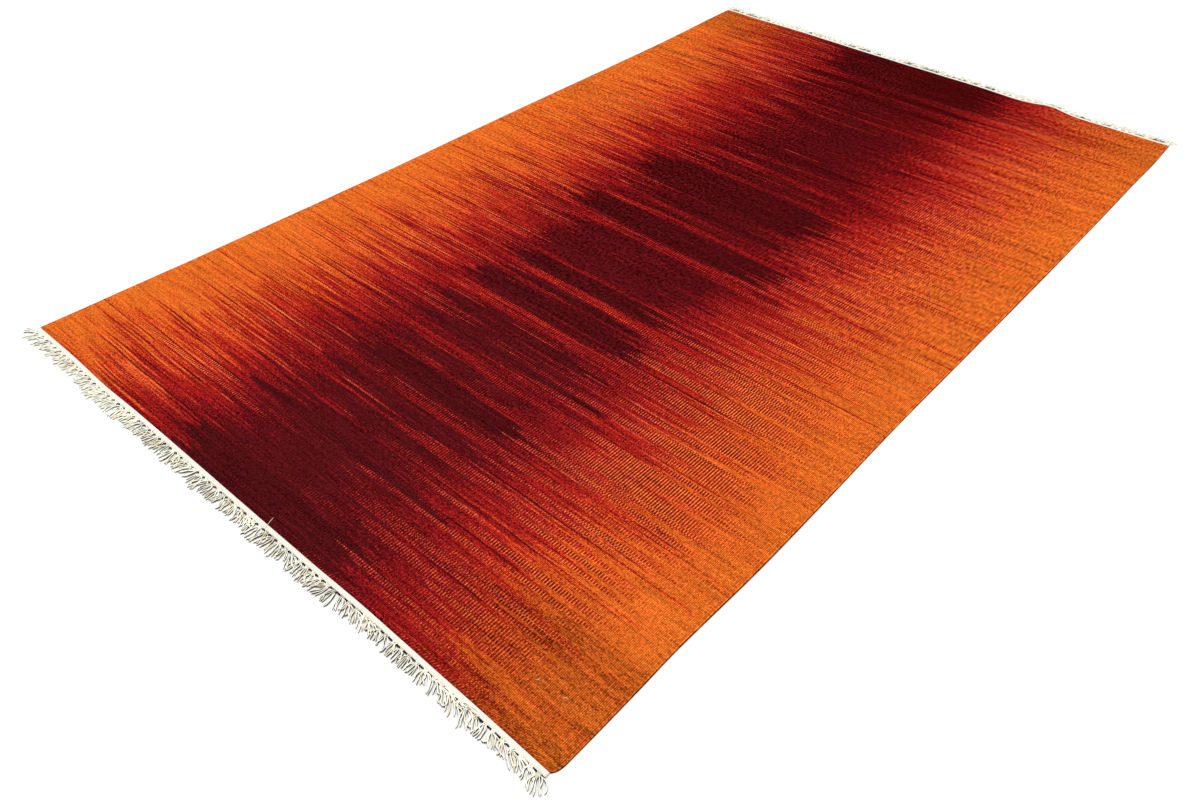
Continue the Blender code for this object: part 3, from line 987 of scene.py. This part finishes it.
def wool_colour(g, weave, tone, crossed, pale):
    """The colour of a tone, with the pale flecks of the brighter picks painted only on the crowns of the
    ribs as a highlight, and a faint painted sheen on the dark wool towards the near end.
    """
    colour = shade_ramp(g, tone)
    # The brighter picks' pale flecks, kept to the crowns of the ribs as a painted highlight
    fleck_and_highlight = g.times(pale, g.ease(weave.rib_side, 0.10, 0.34, 1.0, 0.0))
    fleck_and_highlight = g.times(fleck_and_highlight, g.ease(tone, 0.38, 0.68, 0.01, 0.30))
    fleck_and_highlight = g.times(fleck_and_highlight, g.ease(tone, 0.66, 0.90, 1.0, 0.60))
    fleck_and_highlight = g.times(fleck_and_highlight, g.ease(crossed, 0.0, 1.0, 1.0, 0.1))
    colour = g.blend(fleck_and_highlight, colour, yarn_colour(*WOOL_FLECK_HIGHLIGHT))
    # A faint painted sheen on the dark wool towards the near end
    painted_sheen = g.times(g.ease(weave.v, 0.2, 1.9, 0.007, 0.0), g.ease(tone, 0.30, 0.70, 1.0, 0.0))
    return g.blend(painted_sheen, colour, yarn_colour(*WOOL_PAINTED_SHEEN))


def wool_light(g, weave, tone, apart, grains, selvedge):
    """Uneven dye and uneven yarn, with the selvedge's painted light, a painted highlight on the crowns of
    the ribs, and painted shade between the ribs and between the picks.
    """
    u, v, row, pair = weave.u, weave.v, weave.row, weave.pair
    fine, warps, grain, bead, wool = grains
    dye = g.noise(u, 0.9, v, 18.0, 71.0, 2.0)
    streak = g.noise(u, 11.0, v, 130.0, 77.0, 2.0)
    pairs = g.noise(u, 10.0, pair, 2.3, 79.0)
    thread = g.noise(u, 14.0, row, 1.7, 81.0)
    fuzz = g.noise(u, 340.0, v, 340.0, 95.0, 1.0)
    mottle = g.noise(u, 130.0, v, 105.0, 98.0, 2.0)
    mottle = g.add(g.times(grain, 0.60), g.times(mottle, g.ease(v, 0.2, 1.6, 0.35, 2.10)))
    mottle = g.times(mottle, g.ease(tone, 0.25, 0.60, 2.4, 1.0))
    light = g.add(1.04, g.mark("dye", "Fac"), g.times(dye, 0.25), g.times(streak, 0.45))
    light = g.add(light, g.times(pairs, 0.55), g.times(thread, 0.60))
    tiny = g.add(g.times(bead, 0.56), g.times(wool, 0.40), g.times(fuzz, 0.70))
    light = g.add(light, g.times(fine, tiny), g.times(fine, mottle), g.times(warps, 1.6))
    light = g.math("MAXIMUM", light, 0.2)
    sides = g.times(g.times(apart, fine), g.ease(v, 0.4, 1.4, 0.10, 0.30))
    # The selvedge's painted light
    light = g.times(g.times(light, g.add(1.0, sides)), selvedge)
    # Painted highlight on the crowns of the ribs, painted shade between the ribs, and painted shade between
    # the picks
    light = g.times(light, g.ease(weave.rib_side, 0.16, 0.47, 1.26, 0.62))
    return g.times(light, g.ease(weave.bead_side, 0.25, 0.50, 1.06, 0.80))


def wool_material():
    """Weft-faced wool: ribs over the warps, and picks of two shades that take turns."""
    g = Graph("kilim_wool")
    u, v, _ = g.split(g.mark("cloth", "Vector"))
    selvedge = selvedge_light(g, u, v)
    weave = weave_places(g, u, v)
    u, v, pair = weave.u, weave.v, weave.pair
    corner = g.times(g.ease(u, 1.05, 1.40), g.ease(v, 0.02, 0.30, 1.0, 0.0))
    base_tone, crossed = crossed_tone(g, u, pair)
    shuttles = two_shuttles(g, weave, base_tone, corner)
    grains = wool_grains(g, weave, corner)
    lone = g.ease(g.chance(weave.row, 2.0, 14.5), 0.92, 0.97)
    run = g.ease(g.noise(u, 2.5, weave.row, 4.3, 61.9), 0.02, 0.20)
    lit = g.times(lone, run)
    flames = flame_tone(g, weave, shuttles, lit)

    # The heart is calmer. A darker pick stands out in the orange most.
    tone = g.add(base_tone, g.times(flames, g.ease(base_tone, 0.30, 0.60, 0.55, 1.0)))
    deeper = g.times(shuttles.dark, g.ease(tone, 0.45, 0.88, 0.10, 0.42))
    tone = g.add(tone, g.times(grains.fine, g.add(g.times(shuttles.bright, 0.15), deeper)))
    speckled = g.add(g.times(grains.grain, 0.36), g.times(grains.bead, 0.12))
    tone = g.add(tone, g.times(grains.fine, speckled), g.times(grains.warps, 0.38))

    # Thin crimson picks run through the heart, and painted shade makes the creases between the ribs a deeper
    # red
    pin = g.ease(g.chance(pair, 7.0, 23.5), 0.78, 0.84)
    run = g.ease(g.noise(u, 6.0, pair, 5.3, 65.9), 0.00, 0.08)
    tone = g.add(tone, g.times(g.times(pin, run), g.ease(base_tone, 0.00, 0.32, 0.30, 0.04)))
    tone = g.less(tone, g.ease(weave.rib_side, 0.20, 0.47, 0.0, 0.09))

    colour = wool_colour(g, weave, tone, crossed, g.add(shuttles.bright, lit))
    light = wool_light(g, weave, tone, shuttles.apart, grains, selvedge)
    g.feed(g.shader.inputs["Base Color"], g.scaled(colour, light))
    height = g.add(
        g.ease(weave.rib_side, 0.10, 0.50, 1.0, 0.0),
        g.ease(weave.bead_side, 0.15, 0.50, 0.45, 0.0),
        g.times(grains.wool, 0.25),
    )
    g.bump(height, 0.7, 0.5 * MM)
    rough = g.ease(g.add(grains.bead, g.times(grains.wool, 0.6)), -0.5, 0.5, 0.82, 0.96)
    g.feed(g.shader.inputs["Roughness"], rough)
    g.shader.inputs["Specular IOR Level"].default_value = 0.0
    return g.material


def band_material():
    """Cream cotton in plain weave: ribs over the warps and fine picks between them, with painted shade
    between the ribs and between the picks, and on the band's outer edge.
    """
    g = Graph("cotton_band")
    u, v, _ = g.split(g.mark("cloth", "Vector"))
    rib_at = g.times(u, 1 / WARP_PITCH)
    rib = g.math("FLOOR", rib_at)
    pick_at = g.add(g.times(v, 1 / BAND_PICK), g.times(g.odd(rib), 0.5))
    rib_side, pick_side = g.off_middle(rib_at), g.off_middle(pick_at)
    stain = g.noise(u, 14.0, v, 90.0, 3.0, 3.0)
    bead = g.less(g.chance(rib, g.math("FLOOR", pick_at), 5.5), 0.5)
    light = g.add(1.13, g.times(stain, 0.10), g.times(bead, 0.08))
    # Painted shade between the ribs and between the picks
    light = g.times(light, g.ease(rib_side, 0.25, 0.50, 1.0, 0.80))
    light = g.times(light, g.ease(pick_side, 0.30, 0.50, 1.0, 0.90))
    # Painted shade: the band's outer edge takes the dark cord's painted shadow colour
    outer = g.ease(v, 9.9 * MM, 10.5 * MM)
    colour = g.blend(outer, yarn_colour(*BAND_CREAM), yarn_colour(*PAINTED_SHADOW_DARK))
    g.feed(g.shader.inputs["Base Color"], g.scaled(colour, light))
    height = g.add(g.ease(rib_side, 0.10, 0.50, 1.0, 0.0), g.ease(pick_side, 0.10, 0.50, 0.6, 0.0))
    g.bump(height, 0.6, 0.4 * MM)
    g.feed(g.shader.inputs["Roughness"], g.ease(stain, -0.3, 0.3, 0.84, 0.95))
    g.shader.inputs["Specular IOR Level"].default_value = 0.05
    return g.material


def yarn_material(name, bright, dull, shaded):
    """Plied cotton yarn: bright on top, dull on some yarns, with painted shade on its side that faces down
    and to the near right, where it lies on the floor, and in the grooves between its plies.
    """
    g = Graph(name)
    cosine, sine, along = g.split(g.mark("strand", "Vector"))
    yarn = g.mark("yarn", "Fac")
    angle = g.math("ARCTAN2", sine, cosine)
    ply = g.math("ABSOLUTE", g.math("SINE", g.add(angle, g.times(along, math.pi / YARN_TWIST))))
    fluff = g.noise(along, 700.0, angle, 1.5, g.times(yarn, 90.0), 2.0)
    patch = g.noise(along, 110.0, yarn, 60.0, 7.0)
    colours = [yarn_colour(*shade, LIGHT_ON_YARN) for shade in (bright, dull, shaded)]
    colour = g.blend(g.ease(yarn, 0.78, 1.00), *colours[:2])
    # Painted shade on the side that faces SHADED_WAY, broken up by the fluff and by patches
    low = g.ease(g.add(g.mark("under", "Fac"), g.times(fluff, 0.15), g.times(patch, 0.60)), 0.34, 0.48)
    colour = g.blend(low, colour, colours[2])
    light = g.add(1.0, g.times(fluff, 0.15))
    # Painted shade in the grooves between the plies
    light = g.times(light, g.ease(ply, 0.0, 0.45, 0.90, 1.0))
    g.feed(g.shader.inputs["Base Color"], g.scaled(colour, light))
    g.bump(g.add(g.ease(ply, 0.0, 0.8), g.times(fluff, 0.3)), 0.5, 0.3 * MM)
    g.feed(g.shader.inputs["Roughness"], g.ease(fluff, -0.4, 0.4, 0.82, 0.95))
    g.shader.inputs["Specular IOR Level"].default_value = 0.05
    return g.material


# Studio

def build_studio():
    """A pale floor, a soft light from all sides and a broad lamp from the back left."""
    half = FLOOR_SIZE / 2
    mesh = bpy.data.meshes.new("floor")
    corners = [(-half, -half), (half, -half), (half, half), (-half, half)]
    mesh.from_pydata([(x, y, -FLOOR_DROP) for x, y in corners], [], [(0, 1, 2, 3)])
    floor = bpy.data.objects.new("floor", mesh)
    bpy.context.scene.collection.objects.link(floor)
    material = bpy.data.materials.new("pale_floor")
    material.use_nodes = True
    shader = material.node_tree.nodes["Principled BSDF"]
    shader.inputs["Base Color"].default_value = FLOOR_GREY, FLOOR_GREY, FLOOR_GREY, 1.0
    shader.inputs["Roughness"].default_value = 0.9
    shader.inputs["Specular IOR Level"].default_value = 0.1
    mesh.materials.append(material)

    world = bpy.data.worlds.new("soft_light")
    world.use_nodes = True
    background = world.node_tree.nodes["Background"]
    background.inputs["Color"].default_value = 1.0, 1.0, 1.0, 1.0
    background.inputs["Strength"].default_value = SOFT_LIGHT
    bpy.context.scene.world = world

    lamp = bpy.data.lights.new("broad_lamp", "SUN")
    lamp.energy = LAMP_LIGHT
    lamp.angle = math.radians(LAMP_ANGLE)
    sun = bpy.data.objects.new("broad_lamp", lamp)
    sun.rotation_euler = [math.radians(turn) for turn in LAMP_TURN]
    bpy.context.scene.collection.objects.link(sun)


def build_camera():
    """The camera at the photograph's angle."""
    lens = bpy.data.cameras.new("camera")
    lens.lens = CAMERA_LENS
    lens.sensor_width = SENSOR_WIDTH
    lens.sensor_fit = "HORIZONTAL"
    lens.clip_end = 60.0
    camera = bpy.data.objects.new("camera", lens)
    x, y, z = CAMERA_PLACE
    camera.location = x + SHIFT_X, y + SHIFT_Y, z
    camera.rotation_euler = [math.radians(turn) for turn in CAMERA_TURN]
    bpy.context.scene.collection.objects.link(camera)
    bpy.context.scene.camera = camera


bpy.context.scene.view_settings.view_transform = "Standard"
build_camera()
build_studio()
field = build_field(wool_material())
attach(field, "root")
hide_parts("kilim_field")

cream_band = band_material()
cream_yarn = yarn_material("cotton_yarn", YARN_CREAM, YARN_DULL, YARN_PAINTED_SHADE)
# The dark cord's material: painted shadow throughout
painted_shadow_yarn = yarn_material("painted_shadow_yarn", PAINTED_SHADOW_DARK, PAINTED_SHADOW_DARK, PAINTED_SHADOW_DARK)
trims = []
for end in ENDS:
    pieces = [
        build_band(end.name + "_band", end.sign, cream_band),
        build_shadow_cord(end.name + "_shadow_cord", end.sign, end.cord, painted_shadow_yarn),
        build_fringe(end, cream_yarn),
    ]
    for piece in pieces:
        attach(piece, "root")
        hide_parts(end.name + "_end_fringe")
    trims += pieces
threads = build_loose_threads("loose_threads", cream_yarn)
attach(threads, "root")
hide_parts("near_end_fringe")
trims.append(threads)
